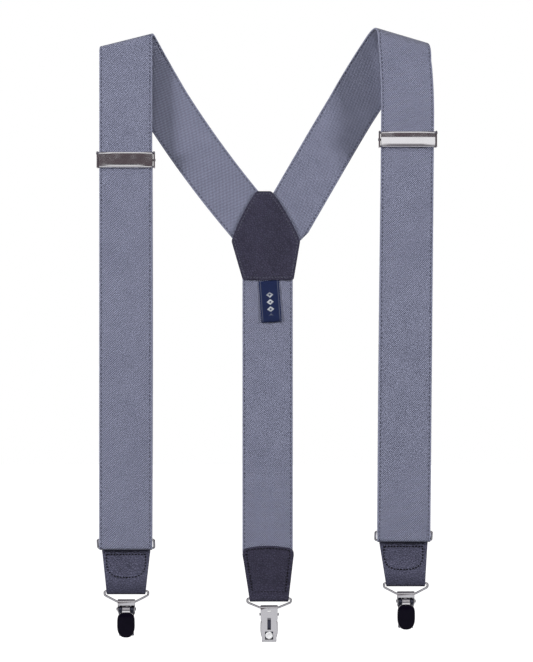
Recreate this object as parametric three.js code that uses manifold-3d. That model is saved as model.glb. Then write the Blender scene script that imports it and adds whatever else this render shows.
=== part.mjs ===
// Y-back clip suspenders, hanging from the shoulder loops. Millimetres.
// +Z up, -Y the side the front straps face, +X towards the strap on the right of that view.
// The origin lies between the two shoulder loops, at the height of whatever the loops hang on.
import * as THREE from "three";
import { mergeVertices } from "three/addons/utils/BufferGeometryUtils.js";
import Module from "manifold-3d";

const wasm = await Module();
wasm.setup();

// Driving dimensions
const GAP = 0.3; // between pieces that touch
const WEB = 1.4; // thickness of the elastic
const FRONT_WIDTH = 38; // 1.5 inch elastic
const BACK_WIDTH = 36.4;
const LEATHER = 1.2;
const WIRE = 0.8; // radius of rings, bails and pins
const SHEET = 0.8; // thickness of stamped metal
const FRONT_Y = -7; // middle plane of both front runs
const BACK_Y = 4.5; // middle plane of the yoke and the back strap
const SHOULDER_END = 45; // how far below its fold the shoulder piece reaches, front and back
const ROUND = 16; // sides of a rod
const WIRE_SIDES = 10;

const WEB_HALF = WEB / 2;
const HOLE = WIRE + GAP; // radius of a hole that a wire turns in
const FOLD_R = HOLE + LEATHER; // outer radius of leather folded round a wire
const DEGREE = Math.PI / 180;

// inward is +1 where the yoke lies towards +X
const SIDES = {
  left: {
    inward: 1,
    shoulderX: -101.2,
    endX: -101.3,
    tabX: -101.4,
    clipX: -101.2,
    foldRadius: 4,
    foldTilt: 14,
    foldShift: 0,
    crest: -0.9,
    sweep: 12,
    sweepLength: 150,
    adjusterX: -101.2,
    adjusterZ: -86.8,
    endZ: -366.5,
  },
  right: {
    inward: -1,
    shoulderX: 100.7,
    endX: 98,
    tabX: 99.6,
    clipX: 99.8,
    foldRadius: 13,
    foldTilt: 16.5,
    foldShift: 2,
    crest: 4.2,
    sweep: -3,
    sweepLength: 90,
    adjusterX: 100.9,
    adjusterZ: -72.1,
    endZ: -360.8,
  },
};

// The front ends. Height is measured from the bottom of the elastic's fold,
// depth from the front run's middle plane.
const TURN_R = 1.5; // middle radius of the elastic's fold
const UPPER_BAR = { depth: WEB_HALF + 0.4 + WIRE, height: 7.4 };
const LOWER_BAR = { depth: 6.3, height: WIRE };
const RETURN_DEPTH = UPPER_BAR.depth + WIRE + 0.4 + WEB_HALF;
const TURN_TOP = 9.5; // height where the fold's rear layer meets the return run
const RING_HALF = 20.2; // half width of the ring, along its wire's centre line
const TAB = { top: 35, bottom: 28.2, length: 32.5, middle: 2.6 };
const BAIL = { half: 15.7, shoulder: 2.8, foot: 6.4, drop: 7.6 };
const BACK_BAIL_DROP = 6.6;

// Back assembly
const BACK_X = 0.4;
const YOKE = { top: -108.6, corner: -144.3, bottom: -172.6 };
const YOKE_OUTLINE = [
  [-8.0, YOKE.top],
  [3.4, YOKE.top],
  [24.0, YOKE.corner],
  [19.2, YOKE.bottom],
  [-17.6, YOKE.bottom],
  [-25.8, YOKE.corner],
];
const STRAP_ENDS = -152; // the diagonals are drawn down to this height, and cut off where the straps meet
const STRAPS_MEET = -146; // the three straps meet inside the yoke at this height
const STRAP_IN_TAB = 18; // from the bottom of the back tab up to the strap's end inside it
const BACK_TAB = { top: -364.4, shoulder: -370, bottom: -405, clipX: 1.5 };
const BACK_TAB_HALF = { top: 15.4, shoulder: 18.6, bottom: 13.9 };
const LABEL = { x: 1.2, half: 7.3, top: -173.2, length: 30, lean: -4 * DEGREE, thick: 0.4 };

// Clip, measured from the axis of the bail's lower bar
const CLIP = {
  half: 5.4,
  earHalf: 6.2,
  length: 24.6,
  pinY: -1.6,
  pinZ: -5,
  pinHalf: 7,
  barrel: HOLE + SHEET,
  plateY: HOLE,
  leverHalf: 6.4,
  leverTop: -6.9,
  leverBottom: -25.2,
  leverY: -4.4,
  jawY: -1.9,
  jawThick: 0.7,
  jawFoot: -24.2,
  neckHalf: 2.8,
  rim: 0.35,
  squarerAbove: 3.4,
  rounderBelow: 2.5,
  slot: { half: 1.25, top: -7.2, bottom: -15.7 },
  window: { half: 2.9, top: -17, bottom: -22.8 },
  vent: { half: 1.4, top: -0.4, bottom: -2.6 },
  grip: { radius: 2.6, thick: 1.4, z: -19.9 },
};

// Adjuster, measured from its middle on the front run's middle plane
const ADJUSTER = {
  half: 5.8,
  coverTop: 5.3,
  coverHalf: 19.55,
  earInner: 19.9,
  earOuter: 20.7,
  front: -3.0,
  back: 4.9,
  pivotY: -2.0,
  pivotZ: 4.4,
  pivotR: 0.7,
};

const MATERIALS = {
  elastic: { color: 0x5b5f6e, roughness: 0.9, metalness: 0 },
  leather: { color: 0x2c2c36, roughness: 0.6, metalness: 0 },
  chrome: { color: 0xc9c9cc, roughness: 0.12, metalness: 1 },
  enamel: { color: 0x07070a, roughness: 0.15, metalness: 0 },
  label: { color: 0x1b2440, roughness: 0.8, metalness: 0 },
  nylon: { color: 0xe8e8ea, roughness: 0.4, metalness: 0 },
};

const group = new THREE.Group();

function add(name, geometry, material) {
  const mesh = new THREE.Mesh(geometry, new THREE.MeshStandardMaterial(MATERIALS[material]));
  mesh.name = name;
  group.add(mesh);
}

// --- solids ---

function toSolid(geometry) {
  const bare = geometry.index ? geometry.toNonIndexed() : geometry.clone();
  bare.deleteAttribute("normal");
  bare.deleteAttribute("uv");
  const merged = mergeVertices(bare, 1e-4);
  return new wasm.Manifold(
    new wasm.Mesh({
      numProp: 3,
      vertProperties: merged.attributes.position.array,
      triVerts: new Uint32Array(merged.index.array),
    }),
  );
}

function toGeometry(solid) {
  const mesh = solid.getMesh();
  const geometry = new THREE.BufferGeometry();
  geometry.setAttribute("position", new THREE.BufferAttribute(mesh.vertProperties, 3));
  geometry.setIndex(new THREE.BufferAttribute(mesh.triVerts, 1));
  return geometry;
}

function join(...geometries) {
  return toGeometry(geometries.map(toSolid).reduce((a, b) => a.add(b)));
}

function cut(geometry, ...tools) {
  return toGeometry(tools.map(toSolid).reduce((a, b) => a.subtract(b), toSolid(geometry)));
}

function common(a, b) {
  return toGeometry(toSolid(a).intersect(toSolid(b)));
}

function block(x, y, z) {
  const size = [x, y, z].map(([low, high]) => high - low);
  const middle = [x, y, z].map(([low, high]) => (low + high) / 2);
  return new THREE.BoxGeometry(...size).translate(...middle);
}

// A rod along X
function rod(radius, x0, x1, y, z) {
  const geometry = new THREE.CylinderGeometry(radius, radius, x1 - x0, ROUND);
  return geometry.rotateZ(Math.PI / 2).translate((x0 + x1) / 2, y, z);
}

// A [y, z] outline carried along X
function alongX(shape, x0, x1, segments = 6) {
  const geometry = new THREE.ExtrudeGeometry(shape, {
    depth: x1 - x0,
    bevelEnabled: false,
    curveSegments: segments,
  });
  const turn = new THREE.Matrix4().makeBasis(
    new THREE.Vector3(0, 1, 0),
    new THREE.Vector3(0, 0, 1),
    new THREE.Vector3(1, 0, 0),
  );
  return geometry.applyMatrix4(turn).translate(x0, 0, 0);
}

// An [x, z] outline carried along Y
function alongY(shape, y0, y1, segments = 6) {
  const geometry = new THREE.ExtrudeGeometry(shape, {
    depth: y1 - y0,
    bevelEnabled: false,
    curveSegments: segments,
  });
  return geometry.rotateX(Math.PI / 2).translate(0, y1, 0);
}

function polygon(points) {
  return new THREE.Shape(points.map(([x, y]) => new THREE.Vector2(x, y)));
}

function roundHole(x, y, radius) {
  return new THREE.Path().absarc(x, y, radius, 0, 2 * Math.PI, false);
}

// Closed loop of round wire: a rod along each side and a ball at each corner
function wireLoop(corners) {
  const points = corners.map((p) => new THREE.Vector3(...p));
  const up = new THREE.Vector3(0, 1, 0);
  const pieces = points.flatMap((from, i) => {
    const to = points[(i + 1) % points.length];
    const side = to.clone().sub(from);
    const middle = from.clone().add(to).multiplyScalar(0.5);
    const bar = new THREE.CylinderGeometry(WIRE, WIRE, side.length(), WIRE_SIDES);
    bar.applyQuaternion(new THREE.Quaternion().setFromUnitVectors(up, side.normalize()));
    const ball = new THREE.SphereGeometry(WIRE, WIRE_SIDES, 6).translate(...from.toArray());
    return [bar.translate(...middle.toArray()), ball];
  });
  return join(...pieces);
}

// --- elastic ---

// Closed band through stations, each { inner, outer, normal }: the two edges' middle points
function band(stations, thickness = WEB) {
  const last = stations.length - 1;
  const geometry = new THREE.BoxGeometry(1, 1, 1, 1, 1, last);
  const position = geometry.attributes.position;
  for (let i = 0; i < position.count; i++) {
    const station = stations[Math.round((position.getZ(i) + 0.5) * last)];
    const edge = position.getX(i) > 0 ? station.inner : station.outer;
    const point = edge.clone().addScaledVector(station.normal, position.getY(i) * thickness);
    position.setXYZ(i, point.x, point.y, point.z);
  }
  const solid = toSolid(geometry);
  if (solid.volume() > 0) return toGeometry(solid);
  const index = geometry.index.array;
  for (let i = 0; i < index.length; i += 3) [index[i + 1], index[i + 2]] = [index[i + 2], index[i + 1]];
  return toGeometry(toSolid(geometry));
}

// The strap as it goes over the shoulder: a flat band wrapped round a tilted bar.
// Returns the stations of the front, from the bottom up, of the fold, and of the diagonal down to the yoke.
function shoulderPath(side) {
  const tilt = side.foldTilt * DEGREE;
  const radius = side.foldRadius;
  const half = FRONT_WIDTH / 2;
  const axisZ = side.crest - radius;
  const axisP = (Math.PI / 2) * radius * Math.sin(tilt) + side.foldShift;
  const place = (p, y, z) => new THREE.Vector3(side.shoulderX + side.inward * p, FRONT_Y + y, z);
  const fold = [];
  const steps = 14;
  for (let i = 0; i <= steps; i++) {
    const turn = (Math.PI * i) / steps;
    const along = radius * (turn - Math.PI / 2) * Math.tan(tilt);
    const up = radius * Math.sin(turn);
    const edge = (p) => {
      const v = p / Math.cos(tilt) + along;
      const x = axisP + v * Math.cos(tilt) - up * Math.sin(tilt);
      const z = axisZ + v * Math.sin(tilt) + up * Math.cos(tilt);
      return place(x, radius * (1 - Math.cos(turn)), z);
    };
    const out = Math.sin(turn);
    const normal = new THREE.Vector3(
      -side.inward * out * Math.sin(tilt),
      -Math.cos(turn),
      out * Math.cos(tilt),
    );
    fold.push({ inner: edge(half), outer: edge(-half), normal });
  }
  const front = [];
  const forward = new THREE.Vector3(0, -1, 0);
  const lift = half * Math.tan(tilt);
  const frontSteps = 6;
  for (let i = 0; i < frontSteps; i++) {
    const down = 1 - i / frontSteps;
    const z = axisZ - SHOULDER_END * down;
    const shift = side.foldShift * (1 - down) ** 2;
    front.push({
      inner: place(shift + half, 0, z + lift),
      outer: place(shift - half, 0, z - lift),
      normal: forward,
    });
  }
  return { front, fold, diagonal: diagonalPath(side, fold[steps], tilt) };
}

// From the back of the fold down to the yoke: the band bends sideways by side.sweep
// and comes to the back plane.
function diagonalPath(side, start, tilt) {
  const stations = [];
  const centre = start.inner.clone().add(start.outer).multiplyScalar(0.5);
  const slant = start.inner.clone().sub(start.outer);
  const startY = centre.y;
  const step = 10;
  const straighten = 50; // over this length the cross lines turn square to the strap
  for (let s = step; centre.z > STRAP_ENDS; s += step) {
    const angle = (2 * side.foldTilt + side.sweep * Math.min(1, s / side.sweepLength)) * DEGREE;
    centre.x += side.inward * Math.sin(angle) * step;
    centre.z -= Math.cos(angle) * step;
    const reach = Math.min(1, (side.crest - centre.z) / (side.crest - YOKE.top));
    centre.y = startY + (BACK_Y - startY) * reach;
    const mix = Math.min(1, s / straighten);
    const width = FRONT_WIDTH + (BACK_WIDTH - FRONT_WIDTH) * mix;
    const square = new THREE.Vector3(side.inward * Math.cos(angle), 0, Math.sin(angle));
    const across = slant.clone().lerp(square.multiplyScalar(width), mix).multiplyScalar(0.5);
    stations.push({
      inner: centre.clone().add(across),
      outer: centre.clone().sub(across),
      normal: new THREE.Vector3(0, 1, 0),
    });
  }
  return stations;
}

// Everything of the yoke's strap ends on one side of the seam between the left and right straps
function sideOfSeam(inward) {
  const far = 200;
  const seam = BACK_X - inward * (GAP / 2);
  const x = inward > 0 ? [-far, seam] : [seam, far];
  return block(x, [-far, far], [-far, far]);
}

function strapOverShoulder(name, side) {
  const { front, fold, diagonal } = shoulderPath(side);
  const rear = diagonal.slice(0, 4);
  add(`${name}_strap_shoulder`, band([...front, ...fold, ...rear]), "elastic");
  const gap = diagonal[4].inner.clone().sub(diagonal[3].inner).setLength(GAP);
  const first = { ...rear[3], inner: rear[3].inner.clone().add(gap), outer: rear[3].outer.clone().add(gap) };
  const whole = band([first, ...diagonal.slice(4)]);
  const kept = common(whole, sideOfSeam(side.inward));
  const limit = block([-200, 200], [-200, 200], [STRAPS_MEET, 200]);
  add(`${name}_strap_diagonal`, common(kept, limit), "elastic");
  return front[0];
}

function frontRun(name, side, top) {
  const down = new THREE.Vector3(0, 0, -GAP);
  const bottom = side.endZ + WEB_HALF + TURN_R + 2 * GAP;
  const forward = new THREE.Vector3(0, -1, 0);
  const at = (x, z) => new THREE.Vector3(x, FRONT_Y, z);
  const half = (side.inward * FRONT_WIDTH) / 2;
  const foot = { inner: at(side.endX + half, bottom), outer: at(side.endX - half, bottom), normal: forward };
  const head = { inner: top.inner.clone().add(down), outer: top.outer.clone().add(down), normal: forward };
  add(`${name}_strap_front_run`, band([foot, head]), "elastic");
}

// --- front ends ---

// The elastic's fold through the ring: a U with its rear layer leaning back behind the ring's upper bar
function ringTurn(name, side) {
  const middle = [];
  const centreZ = side.endZ + WEB_HALF + TURN_R;
  const steps = 8;
  for (let i = 0; i <= steps; i++) {
    const turn = (Math.PI * i) / steps;
    middle.push([FRONT_Y + TURN_R - TURN_R * Math.cos(turn), centreZ - TURN_R * Math.sin(turn)]);
  }
  middle.push([FRONT_Y + RETURN_DEPTH, side.endZ + 6]);
  middle.push([FRONT_Y + RETURN_DEPTH, side.endZ + TURN_TOP]);
  const outline = thicken(middle, WEB_HALF);
  const half = FRONT_WIDTH / 2;
  add(`${name}_strap_ring_turn`, alongX(polygon(outline), side.endX - half, side.endX + half), "elastic");
}

// The closed outline at a distance to both sides of an open line
function thicken(line, distance) {
  const left = [];
  const right = [];
  line.forEach(([a, b], i) => {
    const before = line[Math.max(0, i - 1)];
    const after = line[Math.min(line.length - 1, i + 1)];
    const length = Math.hypot(after[0] - before[0], after[1] - before[1]);
    const na = (-(after[1] - before[1]) / length) * distance;
    const nb = ((after[0] - before[0]) / length) * distance;
    left.push([a + na, b + nb]);
    right.push([a - na, b - nb]);
  });
  return [...left, ...right.reverse()];
}

function returnRun(name, side) {
  const x = side.endX;
  const top = side.adjusterX;
  const half = (side.inward * FRONT_WIDTH) / 2;
  const y = FRONT_Y + RETURN_DEPTH;
  const at = (px, z) => new THREE.Vector3(px, y, z);
  const normal = new THREE.Vector3(0, 1, 0);
  const low = side.endZ + TURN_TOP + GAP;
  const high = side.adjusterZ - HOLE - WEB - GAP - 0.6;
  const foot = { inner: at(x + half, low), outer: at(x - half, low), normal };
  const head = { inner: at(top + half, high), outer: at(top - half, high), normal };
  add(`${name}_strap_return_run`, band([foot, head]), "elastic");
}

function ring(name, side) {
  const corner = (sign, bar) => [
    side.endX + sign * RING_HALF,
    FRONT_Y + bar.depth,
    side.endZ + bar.height,
  ];
  const corners = [corner(1, LOWER_BAR), corner(1, UPPER_BAR), corner(-1, UPPER_BAR), corner(-1, LOWER_BAR)];
  add(`${name}_ring`, wireLoop(corners), "chrome");
}

// Leather folded round a wire at each end and sewn flat between
function frontTab(name, side) {
  const y = FRONT_Y + LOWER_BAR.depth;
  const top = side.endZ + LOWER_BAR.height;
  const bottom = side.endZ - TAB.length + FOLD_R;
  const flat = TAB.middle / 2;
  const pinch = 6; // from a wire to where the layers lie together
  const shape = new THREE.Shape();
  shape.absarc(y, top, FOLD_R, 0, Math.PI, false);
  shape.lineTo(y - flat, top - pinch);
  shape.lineTo(y - flat, bottom + pinch);
  shape.lineTo(y - FOLD_R, bottom);
  shape.absarc(y, bottom, FOLD_R, Math.PI, 2 * Math.PI, false);
  shape.lineTo(y + flat, bottom + pinch);
  shape.lineTo(y + flat, top - pinch);
  shape.holes.push(roundHole(y, top, HOLE), roundHole(y, bottom, HOLE));
  const slab = alongX(shape, side.endX - TAB.top, side.endX + TAB.top);
  const outline = polygon([
    [side.endX - TAB.top / 2, top + FOLD_R + 1],
    [side.tabX - TAB.bottom / 2, bottom - FOLD_R - 1],
    [side.tabX + TAB.bottom / 2, bottom - FOLD_R - 1],
    [side.endX + TAB.top / 2, top + FOLD_R + 1],
  ]);
  add(`${name}_tab_leather`, common(slab, alongY(outline, y - 10, y + 10)), "leather");
  return { y, z: bottom };
}

// --- adjusters ---

function adjuster(name, side) {
  const { half, coverTop, earInner, earOuter, front, back, pivotY, pivotZ, pivotR, coverHalf } = ADJUSTER;
  const place = (geometry) => geometry.translate(side.adjusterX, FRONT_Y, side.adjusterZ);
  const barY = RETURN_DEPTH;
  const railY = [WEB_HALF + 0.4, WEB_HALF + 0.4 + SHEET];
  const rail = (z0, z1) => block([-earInner - 0.1, earInner + 0.1], railY, [z0, z1]);
  const ear = (x0, x1) => block([x0, x1], [front + 0.2, back], [-half, half]);
  const frame = join(
    ear(-earOuter, -earInner),
    ear(earInner, earOuter),
    rail(half - 1.4, half),
    rail(-half, 1.4 - half),
  );
  const far = earOuter + 1;
  const drilled = cut(
    frame,
    rod(HOLE, -far, far, barY, 0),
    rod(pivotR + GAP, -far, far, pivotY, pivotZ),
  );
  add(`${name}_adjuster_frame`, place(drilled), "chrome");
  add(`${name}_adjuster_bar`, place(rod(WIRE, -earOuter - 0.4, earOuter + 0.4, barY, 0)), "chrome");

  const plate = block([-coverHalf, coverHalf], [front, front + SHEET], [-half, coverTop]);
  const toothHalf = coverHalf - 1;
  const tooth = block([-toothHalf, toothHalf], [front + 0.5, -1.2], [pivotZ - 0.6, pivotZ + 0.6]);
  const trunnion = rod(pivotR, -earOuter - 0.2, earOuter + 0.2, pivotY, pivotZ);
  add(`${name}_adjuster_lever`, place(join(plate, tooth, trunnion)), "chrome");

  const loop = new THREE.Shape();
  const outer = HOLE + WEB;
  const tailFoot = -16;
  loop.absarc(barY, 0, outer, -Math.PI / 2, Math.PI * 1.25, false);
  loop.holes.push(roundHole(barY, 0, HOLE));
  const eye = alongX(loop, -FRONT_WIDTH / 2, FRONT_WIDTH / 2);
  const tail = block(
    [-FRONT_WIDTH / 2, FRONT_WIDTH / 2],
    [barY + WEB_HALF + GAP, barY + WEB_HALF + GAP + 1],
    [tailFoot, -HOLE - 0.4],
  );
  add(`${name}_strap_end_loop`, place(join(eye, tail)), "elastic");
}

// --- clips ---

function bail(name, x, y, z, drop) {
  const at = (dx, dz) => [x + dx, y, z + dz];
  const corners = [
    at(BAIL.foot, -drop),
    at(BAIL.half, -BAIL.shoulder),
    at(BAIL.half, 0),
    at(-BAIL.half, 0),
    at(-BAIL.half, -BAIL.shoulder),
    at(-BAIL.foot, -drop),
  ];
  add(`${name}_bail`, wireLoop(corners), "chrome");
}

// The rear plate: rolled round the bail at the top, with two ears for the pin,
// a slot, a window and a turned-in lip.
function clipPlate() {
  const { half, earHalf, length, plateY, pinY, pinZ, barrel, slot, window, vent } = CLIP;
  const earFoot = -8.2;
  const waist = -10; // from here down the plate is narrower
  const rolled = HOLE + SHEET / 2;
  const line = [[plateY + SHEET / 2 - 0.7, -length + SHEET / 2]];
  line.push([plateY + SHEET / 2, -length + SHEET / 2 + 0.5]);
  const steps = 8;
  for (let i = 0; i <= steps; i++) {
    const turn = (Math.PI * i) / steps;
    line.push([rolled * Math.cos(turn), rolled * Math.sin(turn)]);
  }
  line.push([-rolled, -2.4]);
  const sheet = alongX(polygon(thicken(line, SHEET / 2)), -earHalf, earHalf);
  const outline = polygon([
    [-earHalf, 3],
    [-earHalf, earFoot],
    [-half, waist],
    [-half, -length - 1],
    [half, -length - 1],
    [half, waist],
    [earHalf, earFoot],
    [earHalf, 3],
  ]);
  const body = common(sheet, alongY(outline, -4, 4));
  const ear = new THREE.Shape();
  ear.moveTo(plateY + SHEET, -2.2);
  ear.lineTo(plateY + SHEET, earFoot);
  ear.lineTo(pinY, pinZ - barrel);
  ear.absarc(pinY, pinZ, barrel, -Math.PI / 2, Math.PI / 2, true);
  const earSheet = 0.6;
  const ears = [
    alongX(ear, earHalf - earSheet, earHalf),
    alongX(ear, -earHalf, earSheet - earHalf),
  ];
  const through = [0, 4];
  const opening = ({ half: side, top, bottom }) => block([-side, side], through, [bottom, top]);
  const triangle = polygon([
    [-vent.half, vent.bottom],
    [vent.half, vent.bottom],
    [0, vent.top],
  ]);
  const ventHole = alongY(triangle, ...through);
  const pinHole = rod(HOLE, -CLIP.pinHalf, CLIP.pinHalf, pinY, pinZ);
  return cut(join(body, ...ears), opening(slot), opening(window), ventHole, pinHole);
}

// An upright oval outline, squarer above than below
function oval(half, top, bottom) {
  const middle = (top + bottom) / 2;
  const reach = (top - bottom) / 2;
  const sides = 28;
  const points = [];
  for (let i = 0; i < sides; i++) {
    const turn = (2 * Math.PI * i) / sides;
    const power = 2 / (Math.sin(turn) > 0 ? CLIP.squarerAbove : CLIP.rounderBelow);
    const bend = (value) => Math.sign(value) * Math.abs(value) ** power;
    points.push([half * bend(Math.cos(turn)), middle + reach * bend(Math.sin(turn))]);
  }
  return polygon(points);
}

// The front lever: an oval plate on a barrel round the pin
function clipLever() {
  const { pinY, pinZ, barrel, leverHalf, leverTop, leverBottom, leverY, neckHalf } = CLIP;
  const face = alongY(oval(leverHalf, leverTop, leverBottom), leverY, leverY + 1);
  const neck = alongX(
    polygon([
      [pinY - barrel, pinZ - 0.2],
      [leverY, leverTop],
      [leverY, leverTop - 2],
      [leverY + 1, leverTop - 2],
      [pinY, pinZ - barrel],
    ]),
    -neckHalf,
    neckHalf,
  );
  const pinHole = rod(HOLE, -CLIP.pinHalf, CLIP.pinHalf, pinY, pinZ);
  return cut(join(face, neck, rod(barrel, -neckHalf, neckHalf, pinY, pinZ)), pinHole);
}

function clipEnamel() {
  const { leverHalf, leverTop, leverBottom, leverY, rim } = CLIP;
  const outline = oval(leverHalf - rim, leverTop - rim, leverBottom + rim);
  return alongY(outline, leverY - GAP - 0.5, leverY - GAP);
}

// The jaw behind the lever: two barrels on the pin, a leaf, and a toe that closes on the rear plate
function clipJaw() {
  const { half, pinY, pinZ, barrel, jawY, jawThick, jawFoot, neckHalf } = CLIP;
  const outer = half - 0.2;
  const inner = neckHalf + GAP; // the jaw's barrels stand on both sides of the lever's neck
  const notch = pinZ - 4.3;
  const leaf = polygon([
    [-outer, pinZ],
    [-outer, jawFoot],
    [outer, jawFoot],
    [outer, pinZ],
    [inner, pinZ],
    [inner, notch],
    [-inner, notch],
    [-inner, pinZ],
  ]);
  const toe = block([0.8 - half, half - 0.8], [jawY, 0.4], [jawFoot, jawFoot + 1]);
  const barrels = [rod(barrel, inner, outer, pinY, pinZ), rod(barrel, -outer, -inner, pinY, pinZ)];
  const whole = join(alongY(leaf, jawY, jawY + jawThick), toe, ...barrels);
  return cut(whole, rod(HOLE, -CLIP.pinHalf, CLIP.pinHalf, pinY, pinZ));
}

function clipGrip() {
  const { radius, thick, z } = CLIP.grip;
  const pad = new THREE.CylinderGeometry(radius, radius, thick, ROUND);
  return pad.translate(0, CLIP.plateY + 0.2, z);
}

// A clip under a bail; turned is true where its lever faces +Y
function clip(name, x, y, z, turned) {
  const place = (geometry) => (turned ? geometry.rotateZ(Math.PI) : geometry).translate(x, y, z);
  add(`${name}_clip_plate`, place(clipPlate()), "chrome");
  add(`${name}_clip_pin`, place(rod(WIRE, -CLIP.pinHalf, CLIP.pinHalf, CLIP.pinY, CLIP.pinZ)), "chrome");
  add(`${name}_clip_grip`, place(clipGrip()), "nylon");
  add(`${name}_clip_jaw`, place(clipJaw()), "chrome");
  add(`${name}_clip_lever`, place(clipLever()), "chrome");
  add(`${name}_clip_enamel`, place(clipEnamel()), "enamel");
}

// --- back ---

function yoke() {
  const outline = polygon(YOKE_OUTLINE);
  const inner = BACK_Y - WEB_HALF - GAP;
  const outer = BACK_Y + WEB_HALF + GAP;
  add("yoke_inner_leather", alongY(outline, inner - LEATHER, inner), "leather");
  add("yoke_outer_leather", alongY(outline, outer, outer + LEATHER), "leather");
}

function backStrap() {
  const half = BACK_WIDTH / 2;
  const footHalf = half - 3.2; // cut narrower to stay inside the tab
  const outline = polygon([
    [BACK_X - half, STRAPS_MEET - GAP],
    [BACK_X - half, BACK_TAB.shoulder],
    [BACK_TAB.clipX - footHalf, BACK_TAB.bottom + STRAP_IN_TAB],
    [BACK_TAB.clipX + footHalf, BACK_TAB.bottom + STRAP_IN_TAB],
    [BACK_X + half, BACK_TAB.shoulder],
    [BACK_X + half, STRAPS_MEET - GAP],
  ]);
  add("back_strap_elastic", alongY(outline, BACK_Y - WEB_HALF, BACK_Y + WEB_HALF), "elastic");
}

function label() {
  const front = BACK_Y - WEB_HALF - GAP;
  const slip = new THREE.BoxGeometry(2 * LABEL.half, LABEL.thick, LABEL.length);
  slip.translate(0, front - LABEL.thick / 2, -LABEL.length / 2).rotateY(LABEL.lean);
  const drop = LABEL.half * Math.sin(Math.abs(LABEL.lean));
  add("woven_label", slip.translate(LABEL.x, 0, LABEL.top - drop), "label");
}

// Two leather layers over the end of the back strap, folded round the bail at the bottom
function backTab() {
  const { top, shoulder, bottom, clipX } = BACK_TAB;
  const wireZ = bottom + FOLD_R;
  const face = WEB_HALF + GAP + LEATHER;
  const slotHalf = WEB_HALF + GAP;
  const slotEnd = bottom + STRAP_IN_TAB - 1;
  const shape = new THREE.Shape();
  shape.moveTo(BACK_Y + slotHalf, top + 1);
  shape.lineTo(BACK_Y + slotHalf, slotEnd);
  shape.lineTo(BACK_Y - slotHalf, slotEnd);
  shape.lineTo(BACK_Y - slotHalf, top + 1);
  shape.lineTo(BACK_Y - face, top + 1);
  shape.lineTo(BACK_Y - face, slotEnd);
  shape.lineTo(BACK_Y - TAB.middle / 2, slotEnd - 4);
  shape.lineTo(BACK_Y - FOLD_R, wireZ);
  shape.absarc(BACK_Y, wireZ, FOLD_R, Math.PI, 2 * Math.PI, false);
  shape.lineTo(BACK_Y + TAB.middle / 2, slotEnd - 4);
  shape.lineTo(BACK_Y + face, slotEnd);
  shape.lineTo(BACK_Y + face, top + 1);
  shape.holes.push(roundHole(BACK_Y, wireZ, HOLE));
  const { top: t, shoulder: s, bottom: b } = BACK_TAB_HALF;
  const outline = new THREE.Shape();
  outline.moveTo(BACK_X - s, shoulder);
  outline.lineTo(clipX - b, bottom - 1);
  outline.lineTo(clipX + b, bottom - 1);
  outline.lineTo(BACK_X + s, shoulder);
  outline.lineTo(BACK_X + t, top - 2.2);
  outline.quadraticCurveTo(BACK_X, top + 2.2, BACK_X - t, top - 2.2);
  const slab = alongX(shape, BACK_X - 2 * s, BACK_X + 2 * s);
  add("back_tab_leather", common(slab, alongY(outline, BACK_Y - 10, BACK_Y + 10)), "leather");
  return wireZ;
}

yoke();
backStrap();
label();
const backWire = backTab();
bail("back", BACK_TAB.clipX, BACK_Y, backWire, BACK_BAIL_DROP);
clip("back", BACK_TAB.clipX, BACK_Y, backWire - BACK_BAIL_DROP, true);

for (const [name, side] of Object.entries(SIDES)) {
  const frontTop = strapOverShoulder(name, side);
  frontRun(name, side, frontTop);
  ringTurn(name, side);
  returnRun(name, side);
  ring(name, side);
  const wire = frontTab(name, side);
  adjuster(name, side);
  bail(name, side.clipX, wire.y, wire.z, BAIL.drop);
  clip(name, side.clipX, wire.y, wire.z - BAIL.drop, false);
}

export default group;
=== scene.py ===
"""Y-back clip suspenders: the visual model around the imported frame.

The object hangs from its two shoulder loops: +Z is up, the front straps face -Y, and the yoke and the
back strap are behind them. Shapes are worked out in millimetres and scaled to metres as each piece is made.
"""

import math
from types import SimpleNamespace as Facts

import bmesh
import bpy
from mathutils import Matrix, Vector


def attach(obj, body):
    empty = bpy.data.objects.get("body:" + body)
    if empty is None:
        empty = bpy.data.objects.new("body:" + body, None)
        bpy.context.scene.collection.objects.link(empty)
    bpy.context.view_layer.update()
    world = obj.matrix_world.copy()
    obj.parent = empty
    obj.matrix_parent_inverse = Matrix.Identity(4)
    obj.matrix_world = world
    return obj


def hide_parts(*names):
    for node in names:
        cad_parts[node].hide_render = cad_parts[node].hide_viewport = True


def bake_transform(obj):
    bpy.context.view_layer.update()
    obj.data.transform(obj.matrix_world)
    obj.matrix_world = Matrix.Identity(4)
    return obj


MM = 0.001

# --- driving dimensions, millimetres ---

GAP = 0.3
WEB = 1.4
WEB_HALF = WEB / 2
FRONT_WIDTH = 38.0
BACK_WIDTH = 36.4
LEATHER = 1.2
WIRE = 0.8
SHEET = 0.8
FRONT_Y = -7.0
BACK_Y = 4.5
SHOULDER_END = 45.0
HOLE = WIRE + GAP
WRAP = HOLE + LEATHER / 2  # middle radius of leather folded round a wire

SIDES = {
    "left": Facts(
        inward=1, shoulder_x=-101.2, end_x=-101.3, tab_x=-101.4, clip_x=-101.2, end_z=-366.5,
        crest=-0.9, fold_radius=4.0, fold_tilt=14.0, fold_shift=0.0, sweep=12.0, sweep_length=150.0,
        adjuster_x=-101.2, adjuster_z=-86.8, cover_flare=0.0,
    ),
    "right": Facts(
        inward=-1, shoulder_x=100.7, end_x=98.0, tab_x=99.6, clip_x=99.8, end_z=-360.8,
        crest=4.2, fold_radius=13.0, fold_tilt=16.5, fold_shift=2.0, sweep=-3.0, sweep_length=90.0,
        adjuster_x=100.9, adjuster_z=-72.1, cover_flare=0.9,
    ),
}

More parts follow.
